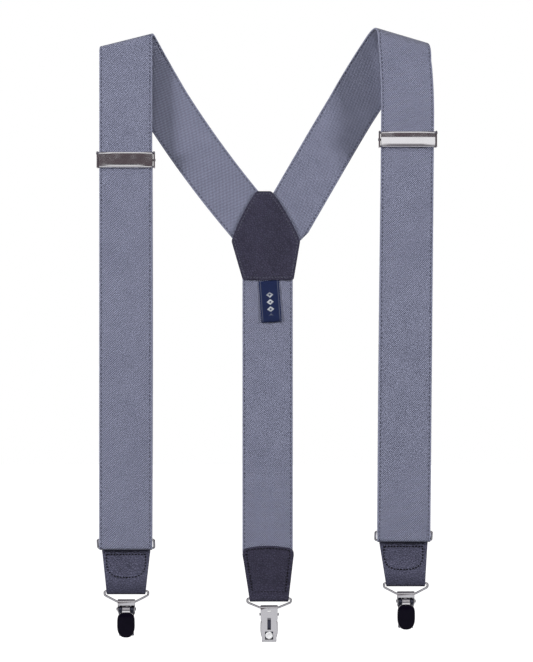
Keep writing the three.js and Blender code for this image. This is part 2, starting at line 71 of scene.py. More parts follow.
TURN_R = 1.5
UPPER_BAR = Facts(depth=WEB_HALF + 0.4 + WIRE, height=7.4)
LOWER_BAR = Facts(depth=6.3, height=WIRE)
RETURN_DEPTH = UPPER_BAR.depth + WIRE + 0.4 + WEB_HALF
TURN_TOP = 9.5
RING_HALF = 20.2
TAB = Facts(top=35.0, bottom=28.2, length=32.5, middle=2.6)
TAB_PINCH = 6.0  # from a wire to where the two layers lie together
BAIL = Facts(half=15.7, shoulder=2.8, foot=6.4, drop=7.6)
BACK_BAIL_DROP = 6.6

BACK_X = 0.4
YOKE_TOP, YOKE_CORNER, YOKE_BOTTOM = -108.6, -144.3, -172.6
YOKE_OUTLINE = [(-8.0, YOKE_TOP), (3.4, YOKE_TOP), (24.0, YOKE_CORNER)]
YOKE_OUTLINE += [(19.2, YOKE_BOTTOM), (-17.6, YOKE_BOTTOM), (-25.8, YOKE_CORNER)]
YOKE_BULGE = [0.0, 1.2, 0.0, 0.3, 0.0, 1.2]  # how far each side of the yoke bows out
STRAP_ENDS = -152.0
BACK_STRAP_TOP = -146.3
BACK_STRAP_FOOT = -387.0
BACK_TAB = Facts(top=-364.4, shoulder=-370.0, bottom=-405.0, clip_x=1.5)
BACK_TAB_HALF = Facts(top=15.4, shoulder=18.6, bottom=13.9)
LABEL = Facts(x=1.2, half=7.3, top=-173.2, length=30.0, lean=math.radians(-4), thick=0.4)

CLIP = Facts(
    pin_y=-1.6, pin_z=-5.0, barrel=HOLE + SHEET, grip_z=-19.9,
    lever_half=6.4, lever_top=-6.9, lever_bottom=-25.2, lever_y=-4.4,
)
ADJUSTER = Facts(cover_half=19.55, ear_outer=20.7, front=-3.0, pivot_y=-2.0, pivot_z=4.4)

FORWARD = Vector((0, -1, 0))
BACKWARD = Vector((0, 1, 0))

# Cross-sections of flat pieces: (place across from -1 to 1, share of the full thickness)
WEB_SECTION = [(-1, 0.35), (-0.992, 0.78), (-0.975, 1.0), (-0.95, 1.05), (-0.92, 0.9)]
WEB_SECTION += [(-0.88, 1.0), (-0.5, 1.0)]
LEATHER_SECTION = [(-1, 0.45), (-0.99, 0.8), (-0.965, 1.0), (-0.8, 1.0), (-0.4, 1.0)]
METAL_SECTION = [(-1, 0.5), (-0.993, 0.85), (-0.98, 1.0), (-0.5, 1.0)]


# --- mesh building: every builder gives a shape, (points, faces, UVs), in millimetres ---


def mirrored(section):
    """The whole cross-section from its left half, with the middle added."""
    return section + [(0, 1.0)] + [(-u, share) for u, share in reversed(section)]


def shares(steps):
    """0 to 1 in equal steps."""
    return [i / steps for i in range(steps + 1)]


def circle(sides):
    """(cosine, sine) at equal steps once round."""
    turns = [2 * math.pi * k / sides for k in range(sides)]
    return [(math.cos(turn), math.sin(turn)) for turn in turns]


def side_faces(rings, sides, closed=False):
    """Quads between rings of points; closed joins the last ring to the first."""
    faces = []
    total = rings * sides
    for i in range(rings if closed else rings - 1):
        for k in range(sides):
            a, b = i * sides + k, i * sides + (k + 1) % sides
            faces.append((a, b, (b + sides) % total, (a + sides) % total))
    return faces


def strip(stations, thickness, section, half_width=FRONT_WIDTH / 2):
    """A closed flat band through stations of (inner edge, outer edge, outward normal, bow along the band).

    UVs are the distance across and along the band in metres, so that a weave keeps its size.
    """
    columns = mirrored(section)
    points, uvs = [], []
    before, along = None, [0.0] * len(columns)
    for station in stations:
        inner, outer, normal = station[:3]
        bow = station[3] if len(station) > 3 else Vector((0, 0, 0))
        middle = (inner + outer) / 2
        across = (inner - outer) / 2
        line = [middle + across * u + bow * (1 - u * u) for u, _ in columns]
        if before:
            along = [a + (p - q).length for a, p, q in zip(along, line, before)]
        before = line
        lift = [normal.normalized() * (thickness / 2 * share) for _, share in columns]
        marks = [(u * half_width * MM, a * MM) for (u, _), a in zip(columns, along)]
        points += [p + n for p, n in zip(line, lift)] + [p - n for p, n in zip(line, lift)][::-1]
        uvs += marks + marks[::-1]
    ring = 2 * len(columns)
    faces = side_faces(len(stations), ring)
    for start in (0, (len(stations) - 1) * ring):
        for j in range(len(columns) - 1):
            faces.append((start + j, start + j + 1, start + ring - 2 - j, start + ring - 1 - j))
    return points, faces, uvs


def tube(path, radius, sides=14):
    """A closed loop of round wire along a flat path."""
    count = len(path)
    spokes = [point - path[0] for point in path]
    plane = sum((spokes[i].cross(spokes[i - 1]) for i in range(2, count)), Vector()).normalized()
    points = []
    for i, point in enumerate(path):
        ahead = (path[(i + 1) % count] - path[i - 1]).normalized()
        out = ahead.cross(plane)
        points += [point + (plane * c + out * s) * radius for c, s in circle(sides)]
    return points, side_faces(count, sides, closed=True), None


def bend(corner, back, ahead, steps):
    """A curve past a corner, between the points that lie back and ahead of it."""
    return [corner + back * (1 - t) ** 2 + ahead * t**2 for t in shares(steps)]


def rounded(corners, fillet, steps=6):
    """A closed line through corners, each turned with a curve that starts the fillet's length before it."""
    path = []
    for i, corner in enumerate(corners):
        back = (corners[i - 1] - corner).normalized() * fillet
        ahead = (corners[(i + 1) % len(corners)] - corner).normalized() * fillet
        path += bend(corner, back, ahead, steps)
    return path


def turned(profile, axis, sides=24):
    """A closed solid of revolution: profile is (place along the axis, radius).

    The profile is a closed outline, unless it starts on the axis and so ends there.
    """
    points = []
    for place, radius in profile:
        for c, s in circle(sides):
            a, b = radius * c, radius * s
            points.append(Vector((place, a, b)) if axis == "x" else Vector((a, place, b)))
    hollow = profile[0][1] > 0
    return points, side_faces(len(profile), sides, closed=hollow), None


def rings_solid(rings):
    """A closed solid through rings of equally many points, capped flat at both ends."""
    count = len(rings[0])
    points = [p for ring in rings for p in ring]
    faces = [tuple(range(count)), tuple(range(len(points) - 1, len(points) - 1 - count, -1))]
    return points, faces + side_faces(len(rings), count), None


def extruded(outline, half):
    """A (y, z) outline carried along X, half to each side."""
    return rings_solid([[Vector((x, y, z)) for y, z in outline] for x in (-half, half)])


def oval_rings(half_x, half_z, middle_z, levels, sides=64):
    """Rings of an upright oval, squarer above than below, one for each (inset, y)."""
    squarer_above, rounder_below = 3.4, 2.5
    spots = []
    for c, s in circle(sides):
        power = 2 / (squarer_above if s > 0 else rounder_below)
        spots.append((math.copysign(abs(c) ** power, c), math.copysign(abs(s) ** power, s)))
    return [[Vector(((half_x - i) * x, y, middle_z + (half_z - i) * z)) for x, z in spots] for i, y in levels]


def inset_outline(corners, bulge, inset, radius=1.6, corner_steps=5, side_steps=8):
    """A closed (x, z) outline moved inwards by inset, with round corners and sides bowed out by bulge."""
    count = len(corners)
    points = [Vector(c) for c in corners]
    area = sum(points[i - 1].x * points[i].y - points[i].x * points[i - 1].y for i in range(count))
    turn = 1 if area > 0 else -1
    heads = [(points[(i + 1) % count] - points[i]).normalized() for i in range(count)]
    inwards = [Vector((-h.y, h.x)) * turn for h in heads]
    moved = []
    for i in range(count):
        before, after = inwards[i - 1], inwards[i]
        moved.append(points[i] + (before + after) * (inset / (1 + before.dot(after))))
    outline = []
    for i in range(count):
        corner, after = moved[i], moved[(i + 1) % count]
        back = -heads[i - 1] * radius
        ahead = heads[i] * radius
        outline += bend(corner, back, ahead, corner_steps)
        start, stop = corner + ahead, after - ahead
        for t in shares(side_steps)[1:-1]:
            outline.append(start.lerp(stop, t) - inwards[i] * (bulge[i] * 4 * t * (1 - t)))
    return outline


def stitches(path, normal, pitch=2.2, length=1.5, radius=0.36):
    """Separate short threads laid along an open or closed line of points."""
    shape = ([], [], None)
    travelled, target = 0.0, pitch / 2
    for a, b in zip(path, path[1:]):
        step = (b - a).length
        while step and travelled + step >= target:
            centre = a.lerp(b, (target - travelled) / step)
            shape = merged([shape, one_stitch(centre, (b - a).normalized(), normal, length, radius)])
            target += pitch
        travelled += step
    return shape


def one_stitch(centre, ahead, normal, length, radius):
    """A short thread that dips into the leather at both ends."""
    side = ahead.cross(normal)
    # (place along the stitch, share of the radius, height in radii)
    ends = [(-0.5, 0.35, -0.6), (-0.36, 0.9, -0.1), (0.0, 1.0, 0.35), (0.36, 0.9, -0.1), (0.5, 0.35, -0.6)]
    rings = []
    for place, share, lift in ends:
        spot = centre + ahead * (place * length) + normal * (lift * radius)
        rings.append([spot + (side * c + normal * s) * (radius * share) for c, s in circle(6)])
    return rings_solid(rings)


def merged(shapes):
    """Several shapes as one, with zero UVs where a shape has none."""
    points, faces, uvs = [], [], []
    for shape_points, shape_faces, shape_uvs in shapes:
        base = len(points)
        points += shape_points
        faces += [tuple(base + i for i in face) for face in shape_faces]
        uvs += shape_uvs or [(0.0, 0.0)] * len(shape_points)
    return points, faces, uvs


def moved(shape, x, y, z, about_face=False):
    """The shape at its place; about_face turns it round the vertical first."""
    sign = -1 if about_face else 1
    points = [Vector((sign * p.x + x, sign * p.y + y, p.z + z)) for p in shape[0]]
    return points, shape[1], shape[2]


def add_object(name, data):
    thing = bpy.data.objects.new(name, data)
    bpy.context.scene.collection.objects.link(thing)
    return thing


def make(name, shapes, material, bevel=0.0):
    """One Blender object from shapes in millimetres, its faces turned outwards."""
    points, faces, uvs = merged(shapes)
    mesh = bpy.data.meshes.new(name)
    mesh.from_pydata([p * MM for p in points], [], faces)
    layer = mesh.uv_layers.new(name="strip")
    for loop in mesh.loops:
        layer.data[loop.index].uv = uvs[loop.vertex_index]
    work = bmesh.new()
    work.from_mesh(mesh)
    bmesh.ops.recalc_face_normals(work, faces=work.faces[:])
    work.to_mesh(mesh)
    work.free()
    mesh.polygons.foreach_set("use_smooth", [True] * len(mesh.polygons))
    mesh.materials.append(material)
    piece = add_object(name, mesh)
    if bevel:
        soften(piece, bevel)
    return piece


def soften(piece, width):
    """Rounds the sharp edges of stamped metal."""
    edge = piece.modifiers.new("edges", "BEVEL")
    edge.width = width * MM
    edge.segments = 2
    edge.limit_method = "ANGLE"
    edge.angle_limit = math.radians(35)
    edge.harden_normals = True


def trim(piece, point, normal, near):
    """Cuts away what lies past a plane, and closes the cut.

    Only points less than near from the back strap's middle take part.
    """
    work = bmesh.new()
    work.from_mesh(piece.data)
    chosen = {v for v in work.verts if abs(v.co.x - BACK_X * MM) < near * MM}
    edges = [e for e in work.edges if all(v in chosen for v in e.verts)]
    faces = [f for f in work.faces if all(v in chosen for v in f.verts)]
    plane = {"plane_co": Vector(point) * MM, "plane_no": normal, "clear_outer": True}
    cut = bmesh.ops.bisect_plane(work, geom=list(chosen) + edges + faces, dist=1e-8, **plane)
    rim = [e for e in cut["geom_cut"] if isinstance(e, bmesh.types.BMEdge)]
    bmesh.ops.edgeloop_fill(work, edges=rim)
    work.to_mesh(piece.data)
    work.free()


# --- materials ---


def preset(node, **values):
    """Plain numbers and colours on a node's own sockets; an underscore stands for a space."""
    for socket, value in values.items():
        node.inputs[socket.replace("_", " ")].default_value = value


def shader(name, roughness, metallic=0.0):
    """A new material: (material, its node tree, its Principled shader)."""
    material = bpy.data.materials.new(name)
    material.use_nodes = True
    tree = material.node_tree
    surface = tree.nodes["Principled BSDF"]
    preset(surface, Roughness=roughness, Metallic=metallic)
    return material, tree, surface


def maths(tree, operation, *values):
    """A Math node on sockets and numbers, and its result."""
    node = tree.nodes.new("ShaderNodeMath")
    node.operation = operation
    for socket, value in zip(node.inputs, values):
        if isinstance(value, (int, float)):
            socket.default_value = value
        else:
            tree.links.new(value, socket)
    return node.outputs[0]


def blend_colours(tree, factor, low, high):
    node = tree.nodes.new("ShaderNodeMix")
    node.data_type = "RGBA"
    tree.links.new(factor, node.inputs[0])
    for socket, value in ((node.inputs[6], low), (node.inputs[7], high)):
        if isinstance(value, tuple):
            socket.default_value = (*value, 1)
        else:
            tree.links.new(value, socket)
    return node.outputs[2]


def noise(tree, scale, detail=3.0, where=None):
    """Noise on the piece's own coordinates, or on the given vector."""
    node = tree.nodes.new("ShaderNodeTexNoise")
    preset(node, Scale=scale, Detail=detail)
    tree.links.new(where or tree.nodes.new("ShaderNodeTexCoord").outputs["Object"], node.inputs["Vector"])
    return node.outputs["Fac"]


def spread(tree, value, low, high, start=0.0, stop=1.0):
    """value carried from start..stop to low..high, kept inside."""
    node = tree.nodes.new("ShaderNodeMapRange")
    preset(node, From_Min=start, From_Max=stop, To_Min=low, To_Max=high)
    tree.links.new(value, node.inputs["Value"])
    return node.outputs["Result"]


def finish_with(tree, surface, colour, roughness=None):
    """Gives the shader its colour, and where there is one its roughness pattern."""
    tree.links.new(colour, surface.inputs["Base Color"])
    if roughness:
        tree.links.new(roughness, surface.inputs["Roughness"])


def relief(tree, surface, height, distance):
    node = tree.nodes.new("ShaderNodeBump")
    preset(node, Distance=distance)
    tree.links.new(height, node.inputs["Height"])
    tree.links.new(node.outputs["Normal"], surface.inputs["Normal"])


def wave(tree, value, period):
    """0 to 1 and back over each period."""
    angle = maths(tree, "MULTIPLY", value, 2 * math.pi / period)
    return maths(tree, "MULTIPLY_ADD", maths(tree, "SINE", angle), 0.5, 0.5)


def strip_axes(tree):
    """Distance across and along a band, in metres, and both as a vector."""
    where = tree.nodes.new("ShaderNodeUVMap")
    where.uv_map = "strip"
    parts = tree.nodes.new("ShaderNodeSeparateXYZ")
    tree.links.new(where.outputs["UV"], parts.inputs["Vector"])
    return parts.outputs["X"], parts.outputs["Y"], where.outputs["UV"]


def line_at(tree, value, place, half):
    """1 on a line at place, falling to 0 half away from it."""
    away = maths(tree, "ABSOLUTE", maths(tree, "SUBTRACT", value, place))
    return spread(tree, away, 1.0, 0.0, half * 0.4, half)


def elastic_material(name, low, high, depth):
    """Fine two-tone ribbed elastic with a stitched selvedge along each edge and a painted highlight on the
    outermost edge; flat where depth is 0.
    """
    material, tree, surface = shader(name, 0.85)
    across, along, where = strip_axes(tree)
    rib, warp = 0.0016, 0.0014
    checks = maths(tree, "SUBTRACT", wave(tree, along, rib), 0.5)
    checks = maths(tree, "MULTIPLY", checks, maths(tree, "SUBTRACT", wave(tree, across, warp), 0.5))
    weave = maths(tree, "MULTIPLY_ADD", checks, 2.0, 0.5)
    fuzz = noise(tree, 900, 2, where)
    drift = noise(tree, 55, 3, where)
    edge = maths(tree, "ABSOLUTE", across)
    selvedge_line, line_half, dot_pitch = 0.0174, 0.0006, 0.0029
    selvedge = line_at(tree, edge, selvedge_line, line_half)
    dots = maths(tree, "MULTIPLY", selvedge, wave(tree, along, dot_pitch))
    # painted highlight: the outermost edge is lightened as if its rounded edge caught the light
    highlight_starts, highlight_full = 0.0183, 0.0188
    painted_edge_highlight = spread(tree, edge, 0.0, 0.8, highlight_starts, highlight_full)
    tone = maths(tree, "MULTIPLY_ADD", maths(tree, "SUBTRACT", fuzz, 0.5), 0.45, weave)
    tone = maths(tree, "MULTIPLY_ADD", maths(tree, "SUBTRACT", drift, 0.5), 0.2, tone)
    colour = blend_colours(tree, tone, low, high)
    dark = tuple(c * 0.45 for c in low)
    colour = blend_colours(tree, maths(tree, "MULTIPLY", dots, 0.75), colour, dark)
    colour = blend_colours(tree, painted_edge_highlight, colour, tuple(c * 0.9 for c in high))
    finish_with(tree, surface, colour, spread(tree, fuzz, 0.78, 0.95))
    preset(surface, Sheen_Weight=0.15, Sheen_Roughness=0.5)
    height = maths(tree, "SUBTRACT", maths(tree, "MULTIPLY_ADD", fuzz, 0.3, weave), dots)
    if depth:
        relief(tree, surface, height, depth)
    return material


def leather_material(name, low, high, painted_shade_bands=()):
    """Pebble-grained leather with painted shade near each fold: (place along the strip, full shade, end of
    shade).
    """
    material, tree, surface = shader(name, 0.5)
    preset(surface, Specular_IOR_Level=0.38)
    cells = tree.nodes.new("ShaderNodeTexVoronoi")
    cells.feature = "DISTANCE_TO_EDGE"
    preset(cells, Scale=620)
    where = tree.nodes.new("ShaderNodeTexCoord").outputs["Object"]
    tree.links.new(where, cells.inputs["Vector"])
    grain = spread(tree, cells.outputs["Distance"], 0.0, 1.0, 0.0, 0.22)
    pores = noise(tree, 2600, 2)
    worn = noise(tree, 70, 4)
    tone = maths(tree, "MULTIPLY_ADD", worn, 0.5, maths(tree, "MULTIPLY", grain, 0.5))
    colour = blend_colours(tree, tone, low, high)
    # painted shade: the colour darkens towards the low tone near each fold
    for place, near, far in painted_shade_bands:
        along = strip_axes(tree)[1]
        distance = maths(tree, "ABSOLUTE", maths(tree, "SUBTRACT", along, place))
        colour = blend_colours(tree, spread(tree, distance, 0.7, 0.0, near, far), colour, low)
    finish_with(tree, surface, colour, spread(tree, worn, 0.42, 0.62, 0.3, 0.7))
    relief(tree, surface, maths(tree, "MULTIPLY_ADD", pores, 0.25, grain), 0.0003)
    return material


def metal_material(name, low, high, smooth, rough):
    """Plated metal with faint handling marks."""
    material, tree, surface = shader(name, smooth, 1.0)
    haze = noise(tree, 140, 4)
    marks = noise(tree, 900, 2)
    colour = blend_colours(tree, haze, low, high)
    finish_with(tree, surface, colour, spread(tree, haze, smooth, rough, 0.35, 0.7))
    relief(tree, surface, marks, 0.000003)
    return material


def enamel_material(name):
    """Near-black enamel with a thin clear coat."""
    material, tree, surface = shader(name, 0.12)
    depth = noise(tree, 300, 3)
    colour = blend_colours(tree, depth, (0.0016, 0.0012, 0.0045), (0.0045, 0.0032, 0.009))
    finish_with(tree, surface, colour, spread(tree, depth, 0.08, 0.16))
    preset(surface, Specular_IOR_Level=0.05, Coat_Weight=0.04, Coat_Roughness=0.08)
    return material


def nylon_material(name):
    material, tree, surface = shader(name, 0.4)
    cloud = noise(tree, 500, 3)
    colour = blend_colours(tree, cloud, (0.72, 0.72, 0.74), (0.86, 0.86, 0.87))
    finish_with(tree, surface, colour, spread(tree, cloud, 0.35, 0.5))
    relief(tree, surface, cloud, 0.00003)
    return material


def thread_material(name, low, high):
    """Twisted sewing thread."""
    material, tree, surface = shader(name, 0.7)
    twist = noise(tree, 2400, 2)
    finish_with(tree, surface, blend_colours(tree, twist, low, high))
    relief(tree, surface, twist, 0.00008)
    return material


def label_material(name):
    """Navy woven label with a plain woven frame and a column of lozenges, and no lettering."""
    material, tree, surface = shader(name, 0.8)
    across, along, where = strip_axes(tree)
    picks = maths(tree, "MULTIPLY", wave(tree, along, 0.0006), wave(tree, across, 0.0007))
    fuzz = noise(tree, 1800, 2, where)
    ground = blend_colours(tree, picks, (0.008, 0.013, 0.045), (0.022, 0.034, 0.105))
    edge = maths(tree, "ABSOLUTE", across)
    pitch, first = 0.0052, 0.0024
    column_middle, column_half, widest = 0.016, 0.0095, 0.004
    turn = maths(tree, "PINGPONG", maths(tree, "SUBTRACT", along, first), pitch / 2)
    away = maths(tree, "SUBTRACT", pitch / 2, turn)
    diamond = maths(tree, "ADD", maths(tree, "MULTIPLY", edge, 0.8), away)
    column = line_at(tree, along, column_middle, column_half)
    inside = maths(tree, "MULTIPLY", column, maths(tree, "LESS_THAN", edge, widest))
    inside = maths(tree, "MULTIPLY", inside, line_at(tree, diamond, 0.0014, 0.0009))
    frame_line = line_at(tree, edge, 0.0062, 0.00045)
    motif = maths(tree, "MAXIMUM", inside, maths(tree, "MULTIPLY", frame_line, 0.12))
    light = blend_colours(tree, fuzz, (0.30, 0.32, 0.36), (0.62, 0.64, 0.66))
    colour = blend_colours(tree, motif, ground, light)
    finish_with(tree, surface, colour, spread(tree, fuzz, 0.7, 0.9))
    relief(tree, surface, maths(tree, "MULTIPLY_ADD", motif, 0.8, picks), 0.00012)
    return material


def floor_material(name):
    """Pale paint that glows a little, so that the floor stays as light as the paper round it."""
    material, tree, surface = shader(name, 0.8)
    drift = noise(tree, 2, 2)
    finish_with(tree, surface, blend_colours(tree, drift, (0.86, 0.86, 0.86), (0.9, 0.9, 0.9)))
    preset(surface, Emission_Color=(1, 1, 1, 1), Emission_Strength=0.95)
    return material


# --- the straps ---


def edges_at(x, y, z, half):
    """Inner and outer edge points of a band that hangs square; half carries the sign of inward."""
    return Vector((x + half, y, z)), Vector((x - half, y, z))


def fold_stations(side):
    """The band wrapped over a tilted bar, from its front to its back."""
    tilt = math.radians(side.fold_tilt)
    radius = side.fold_radius
    half = FRONT_WIDTH / 2
    axis_z = side.crest - radius
    axis_p = (math.pi / 2) * radius * math.sin(tilt) + side.fold_shift
    stations = []
    for t in shares(20):
        turn = math.pi * t
        along = radius * (turn - math.pi / 2) * math.tan(tilt)
        up = radius * math.sin(turn)
        edges = []
        for p in (half, -half):
            v = p / math.cos(tilt) + along
            x = axis_p + v * math.cos(tilt) - up * math.sin(tilt)
            z = axis_z + v * math.sin(tilt) + up * math.cos(tilt)
            y = FRONT_Y + radius * (1 - math.cos(turn))
            edges.append(Vector((side.shoulder_x + side.inward * x, y, z)))
        out = math.sin(turn)
        normal = Vector((-side.inward * out * math.sin(tilt), -math.cos(turn), out * math.cos(tilt)))
        stations.append((*edges, normal))
    return stations


def diagonal_stations(side, start):
    """From the back of the fold down to the yoke; the band bends sideways and comes to the back plane."""
    centre = (start[0] + start[1]) / 2
    slant = start[0] - start[1]
    start_y = centre.y
    step, straighten = 10.0, 50.0
    stations = []
    travelled = step
    while centre.z > STRAP_ENDS:
        share = min(1.0, travelled / side.sweep_length)
        angle = math.radians(2 * side.fold_tilt + side.sweep * share)
        centre = centre + Vector((side.inward * math.sin(angle), 0, -math.cos(angle))) * step
        reach = min(1.0, (side.crest - centre.z) / (side.crest - YOKE_TOP))
        centre.y = start_y + (BACK_Y - start_y) * reach
        mix = min(1.0, travelled / straighten)
        width = FRONT_WIDTH + (BACK_WIDTH - FRONT_WIDTH) * mix
        square = Vector((side.inward * math.cos(angle), 0, math.sin(angle)))
        across = slant.lerp(square * width, mix) / 2
        stations.append((centre + across, centre - across, BACKWARD))
        travelled += step
    return stations


def front_stations(side):
    """Down the front from the fold to just above the turn round the ring."""
    lift = FRONT_WIDTH / 2 * math.tan(math.radians(side.fold_tilt))
    half = side.inward * FRONT_WIDTH / 2
    top = side.crest - side.fold_radius
    bottom = side.end_z + WEB_HALF + TURN_R
    shift_fades = 40.0
    stations = []
    for t in shares(56)[1:]:
        z = top + (bottom - top) * t
        run = max(0.0, (top - SHOULDER_END - z) / (top - SHOULDER_END - bottom))
        x = side.shoulder_x + (side.end_x - side.shoulder_x) * run
        x += side.inward * side.fold_shift * max(0.0, 1 - (top - z) / shift_fades) ** 2
        inner, outer = edges_at(x, FRONT_Y, z, half)
        slack = lift * (1 - t) ** 2
        inner.z += slack
        outer.z -= slack
        stations.append((inner, outer, FORWARD))
    return stations


def turn_stations(side):
    """Round the bottom, behind the ring's upper bar, and up to the return run."""
    half = side.inward * FRONT_WIDTH / 2
    centre_z = side.end_z + WEB_HALF + TURN_R
    stations = []
    for t in shares(10)[1:]:
        turn = math.pi * t
        y = FRONT_Y + TURN_R - TURN_R * math.cos(turn)
        inner, outer = edges_at(side.end_x, y, centre_z - TURN_R * math.sin(turn), half)
        stations.append((inner, outer, Vector((0, -math.cos(turn), -math.sin(turn)))))
    lean = Vector((0, 1, -0.2))
    opens_at, open_at = 2.2, 6.0  # heights between which the return run moves back behind the bar
    for height, normal in ((3.8, lean), (open_at, lean), (TURN_TOP, BACKWARD)):
        share = min(1.0, (height - opens_at) / (open_at - opens_at))
        y = FRONT_Y + 2 * TURN_R + (RETURN_DEPTH - 2 * TURN_R) * share
        stations.append((*edges_at(side.end_x, y, side.end_z + height, half), normal))
    return stations


def rigid_piece(name, shapes, material, body, node=None, bevel=0.0):
    """A piece that rides on one body, in place of its CAD node where it has one."""
    piece = make(name, shapes, material, bevel)
    if node:
        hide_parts(node)
    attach(piece, body)


def thread_piece(name, paths, normal, material, body, radius=0.36):
    rigid_piece(name, [stitches(path, normal, radius=radius) for path in paths], material, body)


def elastic_piece(name, stations, thickness, material):
    piece = make(name, [strip(stations, thickness, WEB_SECTION)], material)
    return piece


def main_strap(name, side):
    """One band from the yoke over the shoulder, down the front and round the ring."""
    fold = fold_stations(side)
    diagonal = diagonal_stations(side, fold[-1])
    stations = diagonal[::-1] + fold[::-1] + front_stations(side) + turn_stations(side)
    strap = elastic_piece(f"{name}_strap", stations, WEB, LOOKS.elastic)
    seam = BACK_X - side.inward * GAP / 2
    near = 45.0
    trim(strap, (seam, 0, 0), Vector((side.inward, 0, 0)), near)
    trim(strap, (0, 0, BACK_STRAP_TOP + GAP), Vector((0, 0, -1)), near)
    corner_x = YOKE_OUTLINE[5][0] if side.inward > 0 else YOKE_OUTLINE[2][0]
    trim(strap, (corner_x, 0, YOKE_CORNER), Vector((-side.inward, 0, -1)), near)
    nodes = [f"{name}_strap_{part}" for part in ("shoulder", "diagonal", "front_run", "ring_turn")]
    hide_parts(*nodes)
    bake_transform(strap)


def return_strap(name, side):
    """The layer behind the front run, from the ring up to the adjuster, a little slack and off line."""
    low = side.end_z + TURN_TOP + GAP
    under_loop = 0.6
    high = side.adjuster_z - HOLE - WEB - GAP - under_loop
    half = side.inward * FRONT_WIDTH / 2
    drift = 0.3 * side.inward
    slack_from, slack_deepest = 0.1, 0.88  # shares of the way up
    stations = []
    for t in shares(40):
        x = side.end_x + (side.adjuster_x - side.end_x) * t + drift * math.sin(math.pi * t)
        z = low + (high - low) * t
        growing = (t - slack_from) / (slack_deepest - slack_from)
        slack = max(0.0, min(growing, (1 - t) / (1 - slack_deepest)))
        stations.append((*edges_at(x, FRONT_Y + RETURN_DEPTH + slack, z, half), BACKWARD))
    piece = elastic_piece(f"{name}_strap_return", stations, WEB, LOOKS.slack_elastic)
    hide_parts(f"{name}_strap_return_run")
    x = side.end_x * MM
    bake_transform(piece)


def end_loop(name, side):
    """The strap's end, round the adjuster's bar and sewn back on itself."""
    half = side.inward * FRONT_WIDTH / 2
    radius = HOLE + WEB_HALF
    bar_y = FRONT_Y + RETURN_DEPTH
    # (y, height from the bar, direction of the outer face)
    path = [(bar_y - 0.1, -3.2, (-0.5, -0.3)), (bar_y - 1.0, -2.3, (-0.8, -0.6))]
    start, stop = math.radians(215), math.radians(-25)
    for t in shares(12):
        turn = start + (stop - start) * t
        y, z = math.cos(turn), math.sin(turn)
        path.append((bar_y + radius * y, radius * z, (y, z)))
    tail_y = bar_y + WEB_HALF + GAP + 0.5
    path += [(tail_y, z, (1, 0)) for z in (-3.0, -7.0, -11.0, -16.0)]
    x, bar_z = side.adjuster_x, side.adjuster_z
    stations = [(*edges_at(x, y, bar_z + z, half), Vector((0, *normal))) for y, z, normal in path]
    pressed = 1.1  # the elastic is squeezed thinner by the seam
    loop = elastic_piece(f"{name}_strap_loop", stations, pressed, LOOKS.elastic)
    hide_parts(f"{name}_strap_end_loop")
    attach(loop, f"{name}_adjuster")
    rows = []
    for z in (-6.0, -12.5):
        rows.append([Vector((x + across, tail_y + pressed / 2, bar_z + z)) for across in (-17.5, 17.5)])
    thread_piece(f"{name}_strap_loop_stitches", rows, BACKWARD, LOOKS.dark_thread, f"{name}_adjuster")


def back_strap():
    """Straight down from the yoke, and cut narrower inside the back tab."""
    stations = []
    for t in shares(40):
        z = BACK_STRAP_TOP + (BACK_STRAP_FOOT - BACK_STRAP_TOP) * t
        in_tab = z < BACK_TAB.shoulder
        x = back_tab_x(z) if in_tab else BACK_X
        half = back_tab_half(z) - 1.0 if in_tab else BACK_WIDTH / 2
        stations.append((*edges_at(x, BACK_Y, z, half), FORWARD))
    piece = elastic_piece("back_strap", stations, WEB, LOOKS.elastic)
    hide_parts("back_strap_elastic")
    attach(piece, "harness")


def woven_label():
    """A flat label sewn on by its top edge, its foot standing a little off the strap."""
    length, half, lean = LABEL.length, LABEL.half, LABEL.lean
    face = BACK_Y - WEB_HALF - GAP - LABEL.thick / 2
    across = Vector((math.cos(lean), 0, -math.sin(lean))) * half
    down = Vector((-math.sin(lean), 0, -math.cos(lean)))
    stands_off = 0.7
    stations = []
    for t in shares(12):
        middle = Vector((LABEL.x, face - stands_off * t * t, LABEL.top)) + down * (length * t)
        stations.append((middle + across, middle - across, FORWARD))
    shape = strip(stations, LABEL.thick, METAL_SECTION, half)
    piece = make("label", [shape], LOOKS.label)
    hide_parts("woven_label")
    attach(piece, "harness")


# --- leather ---


def yoke():
    """Two leather faces sewn over the ends of the three straps."""
    groove = 1.9
    for name, face, out in (("inner", BACK_Y - WEB_HALF - GAP, -1), ("outer", BACK_Y + WEB_HALF + GAP, 1)):
        # (inset from the outline, height above the straps)
        levels = [(4.6, 0), (0.4, 0), (0, 0.35), (0, 0.75), (0.3, 1.08), (0.9, 1.2), (1.4, 1.2)]
        levels += [(groove, 0.95), (2.4, 1.2), (3.6, 1.26), (4.6, 1.3)]
        rings = []
        for inset, height in levels:
            outline = inset_outline(YOKE_OUTLINE, YOKE_BULGE, inset)
            rings.append([Vector((p.x, face + out * height, p.y)) for p in outline])
        node = f"yoke_{name}_leather"
        rigid_piece(f"yoke_{name}", [rings_solid(rings)], LOOKS.leather, "harness", node)
        line = inset_outline(YOKE_OUTLINE, YOKE_BULGE, groove)
        path = [Vector((p.x, face + out * 1.05, p.y)) for p in line + line[:1]]
        thread_piece(f"yoke_{name}_stitches", [path], Vector((0, out, 0)), LOOKS.pale_thread, "harness")


def wrap_path(centre_y, centre_z, start, stop, steps=10):
    """Points and normals of leather that turns round a wire, angles in degrees from +Y towards +Z."""
    path = []
    for t in shares(steps):
        turn = math.radians(start + (stop - start) * t)
        y, z = math.cos(turn), math.sin(turn)
        path.append((centre_y + WRAP * y, centre_z + WRAP * z, Vector((0, y, z))))
    return path


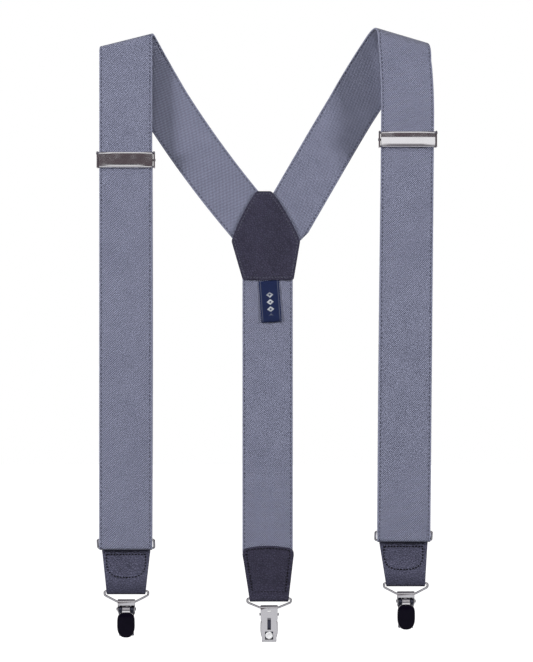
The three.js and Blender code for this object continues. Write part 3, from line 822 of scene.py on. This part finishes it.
def tab_face(side, z):
    """How far the front tab's face stands from its middle plane at a height."""
    top = side.end_z + LOWER_BAR.height
    bottom = side.end_z - TAB.length + HOLE + LEATHER
    near = min(abs(top - z), abs(z - bottom))
    share = max(0.0, 1 - near / TAB_PINCH)
    return TAB.middle / 2 + (HOLE + LEATHER - TAB.middle / 2) * share


def front_tab(name, side):
    """Leather folded round the ring above and the bail below, and sewn through in a D."""
    y = FRONT_Y + LOWER_BAR.depth
    top = side.end_z + LOWER_BAR.height
    bottom = side.end_z - TAB.length + HOLE + LEATHER
    layer = TAB.middle / 2 - LEATHER / 2
    middle = (top + bottom) / 2
    path = [(y + layer, middle + 0.2, BACKWARD), (y + layer, top - TAB_PINCH, BACKWARD)]
    path += wrap_path(y, top, -12, 192)
    path += [(y - layer, z, FORWARD) for z in (top - TAB_PINCH, middle, bottom + TAB_PINCH)]
    path += wrap_path(y, bottom, 168, 372)
    path += [(y + layer, bottom + TAB_PINCH, BACKWARD), (y + layer, middle - 0.2, BACKWARD)]
    stations = []
    for py, z, normal in path:
        t = (top - z) / (top - bottom)
        half = (TAB.top + (TAB.bottom - TAB.top) * t) / 2
        x = side.end_x + (side.tab_x - side.end_x) * t
        stations.append((*edges_at(x, py, z, half), normal))
    body = f"{name}_tab_body"
    fold = strip(stations, LEATHER, LEATHER_SECTION)
    # the tab's brighter leather is painted sheen
    rigid_piece(f"{name}_tab", [fold], LOOKS.tab_leather, body, f"{name}_tab_leather")

    # the D: straight across the top and down the sides, and squarely rounded below
    high, deep, half, straight = top - 4.4, 16.6, 14.0, 5.0
    line = [(-half, 0), (half, 0), (half, -straight)]
    power = 0.72
    for t in shares(20)[1:-1]:
        turn = math.pi * t
        x = math.copysign(abs(math.cos(turn)) ** power, math.cos(turn))
        line.append((half * x, -straight - (deep - straight) * math.sin(turn) ** power))
    line += [(-half, -straight), (-half, 0)]
    for face, direction in (("front", -1), ("rear", 1)):
        points = []
        for x, dz in line:
            z = high + dz
            points.append(Vector((side.end_x + x, y + direction * (tab_face(side, z) - 0.05), z)))
        out = Vector((0, direction, 0))
        thread_piece(f"{name}_tab_stitches_{face}", [points], out, LOOKS.dark_thread, body, 0.5)


def back_tab_half(z):
    """Half the tab's width: it rounds out from the top to the shoulder, then narrows to the bail."""
    top, shoulder, bottom = BACK_TAB.top, BACK_TAB.shoulder, BACK_TAB.bottom
    if z > shoulder:
        t = (top - z) / (top - shoulder)
        share = math.sqrt(max(0.0, 1 - (1 - t) ** 2))
        return BACK_TAB_HALF.top + (BACK_TAB_HALF.shoulder - BACK_TAB_HALF.top) * share
    t = (shoulder - z) / (shoulder - bottom)
    return BACK_TAB_HALF.shoulder + (BACK_TAB_HALF.bottom - BACK_TAB_HALF.shoulder) * t


def back_tab_x(z):
    """The tab's middle line, which leans over to the clip below the shoulder."""
    t = max(0.0, (BACK_TAB.shoulder - z) / (BACK_TAB.shoulder - BACK_TAB.bottom))
    return BACK_X + 0.4 + (BACK_TAB.clip_x - BACK_X - 0.4) * t


def back_tab_layer(z):
    """How far a layer's middle plane stands from the strap's middle plane."""
    over_strap = WEB_HALF + GAP + LEATHER / 2
    together = LEATHER / 2 + 0.05
    closes_from, closes_over = BACK_STRAP_FOOT - 1, 4.5
    t = min(1.0, max(0.0, (closes_from - z) / closes_over))
    return over_strap + (together - over_strap) * t


def back_tab():
    """Leather folded round the bail and sewn over the strap's end, front and rear."""
    top, wire = BACK_TAB.top, BACK_TAB.bottom + HOLE + LEATHER
    heights = [top, top - 0.7, top - 1.8, top - 3.4, BACK_TAB.shoulder]
    heights += [-376, -382, -388, -390.2, -392.6, -396]
    front = [(BACK_Y - back_tab_layer(z), z, FORWARD) for z in heights]
    rear = [(BACK_Y + back_tab_layer(z), z, BACKWARD) for z in reversed(heights)]
    path = front + wrap_path(BACK_Y, wire, 168, 372) + rear
    stations = []
    arch, arch_fades = 1.7, 12.0  # how far the top edge arches up, and how far down that fades out
    for y, z, normal in path:
        rise = arch * max(0.0, 1 - (top - z) / arch_fades)
        edges = edges_at(back_tab_x(z), y, z - rise, back_tab_half(z))
        stations.append((*edges, normal, Vector((0, 0, rise))))
    fold = strip(stations, LEATHER, LEATHER_SECTION)
    rigid_piece("back_tab", [fold], LOOKS.leather, "harness", "back_tab_leather")

    inset, high, low = 3.0, top - 3.2, -399.4
    for face, direction in (("front", -1), ("rear", 1)):
        steps = 24
        down, up = [], []
        for t in shares(steps):
            z = high + (low - high) * t
            y = BACK_Y + direction * (back_tab_layer(z) + LEATHER / 2 - 0.02)
            half = min(back_tab_half(z), BACK_TAB_HALF.shoulder) - inset
            down.append(Vector((back_tab_x(z) + half, y, z)))
            up.append(Vector((back_tab_x(z) - half, y, z)))
        loop = down + up[::-1]
        crown = []
        for t in shares(8):
            rise = 1.2 * (1 - (2 * t - 1) ** 2)
            crown.append(loop[-1].lerp(loop[0], t) + Vector((0, 0, rise)))
        foot = [loop[steps + 1] + Vector((1.0, 0, 1.7)), loop[steps] + Vector((-1.0, 0, 1.7))]
        paths, out = [loop + crown, foot], Vector((0, direction, 0))
        thread_piece(f"back_tab_stitches_{face}", paths, out, LOOKS.dark_thread, "harness", 0.45)


# --- metal ---


def chrome_piece(name, shapes, body, node, bevel=0.0):
    rigid_piece(name, shapes, LOOKS.chrome, body, node, bevel)


def keep_node(node, material, bevel):
    """A CAD piece whose shape is right, with its edges rounded and its own finish."""
    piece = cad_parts[node]
    weld = piece.modifiers.new("weld", "WELD")
    weld.merge_threshold = 1e-6
    soften(piece, bevel)
    if "custom_normal" in piece.data.attributes:
        piece.data.attributes.remove(piece.data.attributes["custom_normal"])
    even = piece.modifiers.new("even_shading", "WEIGHTED_NORMAL")
    even.weight = 100
    piece.data.polygons.foreach_set("use_smooth", [True] * len(piece.data.polygons))
    piece.data.materials.clear()
    piece.data.materials.append(material)


def ring(name, side):
    """A wire rectangle, its upper bar in the strap's turn and its lower bar in the tab's fold."""
    corners = []
    for sign, bar in ((1, LOWER_BAR), (1, UPPER_BAR), (-1, UPPER_BAR), (-1, LOWER_BAR)):
        x = side.end_x + sign * RING_HALF
        corners.append(Vector((x, FRONT_Y + bar.depth, side.end_z + bar.height)))
    wire = tube(rounded(corners, 1.4), WIRE)
    chrome_piece(f"{name}_ring_wire", [wire], f"{name}_ring_body", f"{name}_ring")


def bail(name, x, y, z, drop):
    """A wire trapezium whose upper bar lies in the leather fold at z."""
    half, shoulder, foot = BAIL.half, BAIL.shoulder, BAIL.foot
    line = [(foot, -drop), (half, -shoulder), (half, 0), (-half, 0), (-half, -shoulder), (-foot, -drop)]
    corners = [Vector((x + dx, y, z + dz)) for dx, dz in line]
    wire = tube(rounded(corners, 1.2), WIRE)
    chrome_piece(f"{name}_bail_wire", [wire], f"{name}_bail_body", f"{name}_bail")


def riveted_rod(half, radius, head, head_length=0.55):
    """A rod along X with a domed head at each end."""
    profile = [(-half, 0.0), (-half, head * 0.55), (-half + 0.2, head), (-half + head_length, head)]
    profile += [(-half + head_length, radius)]
    return turned(profile + [(-place, r) for place, r in reversed(profile)], "x")


def barrel(half):
    """A short tube along X round the clip's pin."""
    outer, inner, chamfer = CLIP.barrel, HOLE, 0.15
    profile = [(-half, inner), (-half, outer - chamfer), (-half + chamfer, outer), (half - chamfer, outer)]
    profile += [(half, outer - chamfer), (half, inner)]
    return moved(turned(profile, "x", 28), 0, CLIP.pin_y, CLIP.pin_z)


def lever_oval():
    """The lever's outline: half width, half height, middle height and front face."""
    top, bottom = CLIP.lever_top, CLIP.lever_bottom
    return CLIP.lever_half, (top - bottom) / 2, (top + bottom) / 2, CLIP.lever_y


def clip_lever_shapes():
    """An oval dish with a raised rim, on a neck that rolls round the pin."""
    half_x, half_z, middle, y = lever_oval()
    top = CLIP.lever_top
    levels = [(3.5, y + 1.0), (0.5, y + 1.0), (0.12, y + 0.85), (0.0, y + 0.55), (0.0, y - 0.2)]
    levels += [(0.08, y - 0.4), (0.2, y - 0.45), (0.3, y - 0.35), (0.36, y - 0.1), (3.5, y - 0.1)]
    dish = rings_solid(oval_rings(half_x, half_z, middle, levels))
    pin_y, pin_z, radius = CLIP.pin_y, CLIP.pin_z, CLIP.barrel
    outline = [(pin_y - radius, pin_z - 0.2), (y, top), (y, top - 2.2), (y + 1, top - 2.2)]
    outline += [(pin_y, pin_z - radius), (pin_y - 0.6, pin_z - radius + 0.3)]
    neck_half = 2.8
    return [dish, extruded(outline, neck_half), barrel(neck_half)]


def clip_enamel_shape():
    """A domed oval that fills the lever's dish."""
    half_x, half_z, middle, y = lever_oval()
    levels = [(3.5, y - 0.15), (0.4, y - 0.15), (0.38, y - 0.4), (0.55, y - 0.56), (0.95, y - 0.68)]
    levels += [(2.2, y - 0.8), (3.6, y - 0.88), (5.0, y - 0.92), (5.9, y - 0.93)]
    return rings_solid(oval_rings(half_x, half_z, middle, levels))


def clip_grip_shape():
    """A round nylon pad with a dimpled face."""
    profile = [(0.6, 0.0), (0.6, 2.45), (0.75, 2.6), (1.85, 2.6)]
    profile += [(2.0, 2.4), (2.0, 1.7), (1.75, 1.1), (1.65, 0.0)]
    return moved(turned(profile, "y", 32), 0, 0, CLIP.grip_z)


def clip(name, x, y, z, about_face):
    """A clip under its bail; about_face is true where its lever faces the rear."""

    def place(shape):
        return moved(shape, x, y, z, about_face)

    pin_half, pin_head = 7.05, 1.25
    lever = [place(shape) for shape in clip_lever_shapes()]
    pin = place(moved(riveted_rod(pin_half, WIRE, pin_head), 0, CLIP.pin_y, CLIP.pin_z))
    enamel, grip = place(clip_enamel_shape()), place(clip_grip_shape())
    own, lever_body = f"{name}_clip", f"{name}_clip_lever_body"
    chrome_piece(f"{own}_dish", lever, lever_body, f"{own}_lever", 0.1)
    chrome_piece(f"{own}_rivet", [pin], f"{own}_body", f"{own}_pin")
    rigid_piece(f"{own}_enamel_visual", [enamel], LOOKS.enamel, lever_body, f"{own}_enamel")
    rigid_piece(f"{own}_grip_visual", [grip], LOOKS.nylon, f"{own}_body", f"{own}_grip")
    keep_node(f"{own}_plate", LOOKS.chrome, 0.14)
    # the jaw is chrome like the plate, coloured dark as painted shade in the plate's slot
    keep_node(f"{own}_jaw", LOOKS.steel, 0.1)


def cover_profile(flare):
    """(y, z) of the cover plate's middle: an upper facet, a lower one that stands out by flare, and a lip."""
    y = ADJUSTER.front + SHEET / 2
    upper = [(y + 0.12, 5.3), (y, 5.0), (y, 4.0), (y, 1.5), (y - 0.02, 1.1)]
    # (distance forward, share of the flare, height)
    lower = [(0.05, 0.15, 0.0), (0.08, 0.5, -2.6), (0.1, 0.85, -4.9), (0.2, 1.0, -5.35), (0.5, 1.0, -5.8)]
    return upper + [(y - forward - flare * share, z) for forward, share, z in lower]


def cover_shapes(flare):
    """The lever's curved cover plate, its tooth and its pivot."""
    line = [Vector((0, *p)) for p in cover_profile(flare)]
    corner = 1.6
    stations = []
    for i, point in enumerate(line):
        ahead = (line[min(i + 1, len(line) - 1)] - line[max(i - 1, 0)]).normalized()
        normal = Vector((0, ahead.z, -ahead.y))
        from_end = min(abs(line[0].z - point.z), abs(point.z - line[-1].z))
        cut = corner - math.sqrt(max(0.0, corner**2 - max(0.0, corner - from_end) ** 2))
        half = ADJUSTER.cover_half - cut
        stations.append((point + Vector((half, 0, 0)), point - Vector((half, 0, 0)), normal))
    tooth_y, pivot_y, pivot_z = ADJUSTER.front + 0.5, ADJUSTER.pivot_y, ADJUSTER.pivot_z
    tooth = [(tooth_y, pivot_z - 0.6), (-1.2, pivot_z - 0.6), (-1.2, pivot_z + 0.6), (tooth_y, pivot_z + 0.6)]
    rod = moved(riveted_rod(ADJUSTER.ear_outer + 0.35, 0.7, 1.0, 0.3), 0, pivot_y, pivot_z)
    tooth_half = 18.5
    return [strip(stations, SHEET, METAL_SECTION), extruded(tooth, tooth_half), rod]


def adjuster(name, side):
    """The lever adjuster: cover, bar and frame."""
    x, z = side.adjuster_x, side.adjuster_z
    cover = [moved(shape, x, FRONT_Y, z) for shape in cover_shapes(side.cover_flare)]
    own = f"{name}_adjuster"
    chrome_piece(f"{own}_cover", cover, f"{own}_lever_body", f"{own}_lever")
    rod = moved(riveted_rod(ADJUSTER.ear_outer + 0.4, WIRE, 1.15, 0.35), x, FRONT_Y + RETURN_DEPTH, z)
    chrome_piece(f"{own}_pin", [rod], own, f"{own}_bar")
    keep_node(f"{own}_frame", LOOKS.chrome, 0.15)


# --- camera, light and floor ---

AMBIENT = 0.165


def add_camera():
    data = bpy.data.cameras.new("camera")
    data.sensor_width = 36
    data.lens = 105.75
    camera = add_object("camera", data)
    camera.location = (-0.0004, -1.4, -0.2095)
    camera.rotation_euler = (math.pi / 2, 0, 0)
    bpy.context.scene.camera = camera


def add_softbox(name, location, size, power):
    """A square area light aimed at the middle of the object, unseen by the camera and the metal."""
    data = bpy.data.lights.new(name, "AREA")
    data.size = size
    data.energy = power
    aim = Vector((0, 0, -0.2)) - Vector(location)
    light = add_object(name, data)
    light.location = location
    light.rotation_euler = aim.to_track_quat("-Z", "Y").to_euler()
    light.visible_camera = False
    light.visible_glossy = False


def ramp_of(tree, value, stops):
    ramp = tree.nodes.new("ShaderNodeValToRGB")
    ends = ramp.color_ramp.elements
    ends[0].position, ends[0].color = stops[0][0], (*stops[0][1], 1)
    ends[1].position, ends[1].color = stops[-1][0], (*stops[-1][1], 1)
    for place, colour in stops[1:-1]:
        ends.new(place).color = (*colour, 1)
    tree.links.new(value, ramp.inputs["Fac"])
    return ramp.outputs["Color"]


def sky(tree, colour, strength):
    node = tree.nodes.new("ShaderNodeBackground")
    node.inputs["Strength"].default_value = strength
    if isinstance(colour, tuple):
        node.inputs["Color"].default_value = (*colour, 1)
    else:
        tree.links.new(colour, node.inputs["Color"])
    return node.outputs[0]


def add_world():
    """White paper to the camera, a soft even light to cloth, and to polished metal a pale studio
    with a dim brownish room at eye level."""
    world = bpy.data.worlds.new("studio")
    bpy.context.scene.world = world
    world.use_nodes = True
    tree = world.node_tree
    where = tree.nodes.new("ShaderNodeTexCoord")
    parts = tree.nodes.new("ShaderNodeSeparateXYZ")
    tree.links.new(where.outputs["Generated"], parts.inputs["Vector"])
    height = maths(tree, "MULTIPLY_ADD", parts.outputs["Z"], 0.5, 0.5)
    brown, dark, pale = (0.115, 0.092, 0.102), (0.03, 0.026, 0.034), (0.95, 0.95, 0.97)
    grey, soft, dim = (0.3, 0.3, 0.33), (0.66, 0.66, 0.69), (0.16, 0.15, 0.17)
    stops = [(0.0, grey), (0.2, grey), (0.32, soft), (0.455, soft), (0.48, brown), (0.57, brown)]
    stops += [(0.60, dark), (0.635, pale), (0.73, pale), (0.8, dim), (1.0, dim)]
    room = ramp_of(tree, height, stops)
    sideways = spread(tree, maths(tree, "ABSOLUTE", parts.outputs["X"]), 0.0, 1.0, 0.5, 0.75)
    room = blend_colours(tree, sideways, room, (0.045, 0.04, 0.048))
    seen = tree.nodes.new("ShaderNodeLightPath")
    shown = sky(tree, (0.97, 0.98, 1.0), AMBIENT)
    paper = sky(tree, (1, 1, 1), 1.0)
    for share, other in (("Is Glossy Ray", sky(tree, room, 1.0)), ("Is Camera Ray", paper)):
        mix = tree.nodes.new("ShaderNodeMixShader")
        tree.links.new(seen.outputs[share], mix.inputs[0])
        tree.links.new(shown, mix.inputs[1])
        tree.links.new(other, mix.inputs[2])
        shown = mix.outputs[0]
    tree.links.new(shown, tree.nodes["World Output"].inputs["Surface"])


def add_floor():
    """A pale floor, far enough down for the straps at their full length."""
    half, height = 6000.0, -720.0
    square = [Vector((x, y, height)) for x, y in ((-half, -half), (half, -half), (half, half), (-half, half))]
    floor = make("floor", [(square, [(0, 1, 2, 3)], None)], floor_material("floor_paint"))
    floor.visible_diffuse = False
    floor.visible_glossy = False


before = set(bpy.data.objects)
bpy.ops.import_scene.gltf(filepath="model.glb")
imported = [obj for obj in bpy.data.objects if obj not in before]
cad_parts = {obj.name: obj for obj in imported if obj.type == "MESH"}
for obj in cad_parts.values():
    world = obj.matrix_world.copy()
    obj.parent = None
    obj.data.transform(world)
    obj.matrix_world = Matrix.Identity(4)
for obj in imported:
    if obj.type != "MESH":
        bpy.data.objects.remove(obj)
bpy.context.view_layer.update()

add_camera()
add_softbox("left_light", (-1.1, -0.6, 0.0), 0.25, 15)
add_softbox("right_light", (1.1, -0.6, 0.0), 0.25, 12.5)
add_softbox("high_light", (-0.2, -1.6, 1.1), 0.7, 11.5)
add_softbox("rear_light", (0.4, 1.4, 0.5), 0.9, 19)
add_world()
add_floor()
bpy.context.scene.view_settings.view_transform = "Standard"

BLUE_GREY = ((0.053, 0.057, 0.096), (0.29, 0.302, 0.405))
# painted shade on the tab's leather near its two folds, where it turns from the light and lies under the
# elastic's edge: how far along the strip, and where the shade starts and ends
TAB_PAINTED_SHADE = ((0.0545, 0.003, 0.013), (0.0185, 0.002, 0.0065))
LOOKS = Facts(
    elastic=elastic_material("ribbed_elastic", *BLUE_GREY, 0.00025),
    slack_elastic=elastic_material("slack_elastic", *BLUE_GREY, 0),
    leather=leather_material("grained_leather", (0.011, 0.0102, 0.021), (0.062, 0.058, 0.094)),
    # the front tabs use a brighter copy of the yoke's leather: painted sheen, with painted shade at their
    # folds
    tab_leather=leather_material("tab_leather", (0.03, 0.03, 0.05), (0.125, 0.125, 0.19), TAB_PAINTED_SHADE),
    dark_thread=thread_material("dark_thread", (0.001, 0.001, 0.002), (0.003, 0.003, 0.005)),
    pale_thread=thread_material("pale_thread", (0.05, 0.05, 0.07), (0.12, 0.12, 0.16)),
    chrome=metal_material("chrome_plate", (0.74, 0.73, 0.74), (0.84, 0.83, 0.84), 0.09, 0.2),
    # painted shade: a dark copy of the chrome for the jaw seen through the clip's slot
    steel=metal_material("chrome_darkened_for_shade", (0.07, 0.075, 0.11), (0.13, 0.135, 0.18), 0.25, 0.4),
    enamel=enamel_material("black_enamel"),
    nylon=nylon_material("white_nylon"),
    label=label_material("woven_motif"),
)

for side_name, facts in SIDES.items():
    for build in (main_strap, return_strap, end_loop, ring, front_tab, adjuster):
        build(side_name, facts)
    tab_y = FRONT_Y + LOWER_BAR.depth
    bail_z = facts.end_z - TAB.length + HOLE + LEATHER
    bail(side_name, facts.clip_x, tab_y, bail_z, BAIL.drop)
    clip(side_name, facts.clip_x, tab_y, bail_z - BAIL.drop, False)

back_strap()
woven_label()
yoke()
back_tab()
back_bail_z = BACK_TAB.bottom + HOLE + LEATHER
bail("back", BACK_TAB.clip_x, BACK_Y, back_bail_z, BACK_BAIL_DROP)
clip("back", BACK_TAB.clip_x, BACK_Y, back_bail_z - BACK_BAIL_DROP, True)
